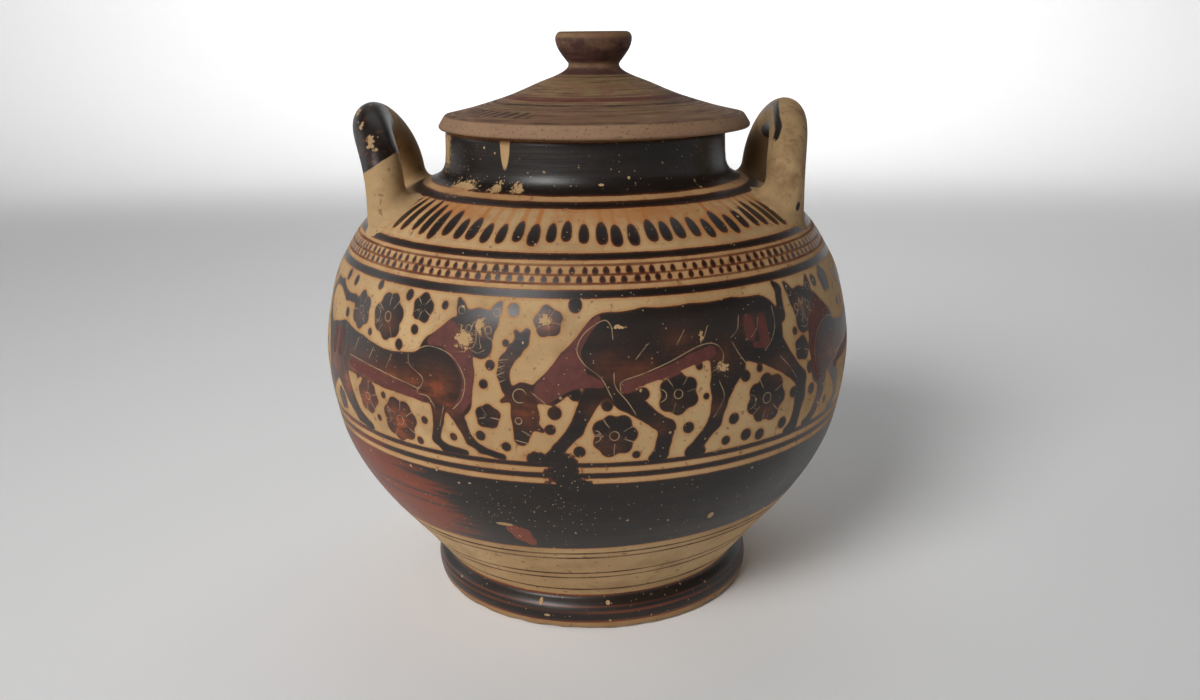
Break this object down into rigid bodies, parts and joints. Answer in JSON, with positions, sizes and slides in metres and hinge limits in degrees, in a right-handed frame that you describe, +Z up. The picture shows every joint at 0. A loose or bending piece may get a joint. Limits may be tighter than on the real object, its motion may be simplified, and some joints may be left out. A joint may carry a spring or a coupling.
{
  "type": "lidded pyxis",
  "caption": "Globular ceramic pyxis on a ring foot, with upright loop handles on the shoulder, a low neck and a conical lid with a knob that lifts off.",
  "frame": {"origin": "on the body's axis, in the plane that the foot stands on", "axes": "+Z up along the body's axis; the side that the picture shows faces -Y, with the handles at -X and +X"},
  "size_m": [0.2, 0.2, 0.2104],
  "materials": {
    "vessel_clay": "pale buff fired clay with black and purple-red slip, satin where slipped",
    "lid_clay": "pale buff fired clay with worn brown-purple bands, matt"
  },
  "bodies": {
    "root": {"vessel": "vessel_clay", "lid": "lid_clay"}
  },
  "joints": []
}
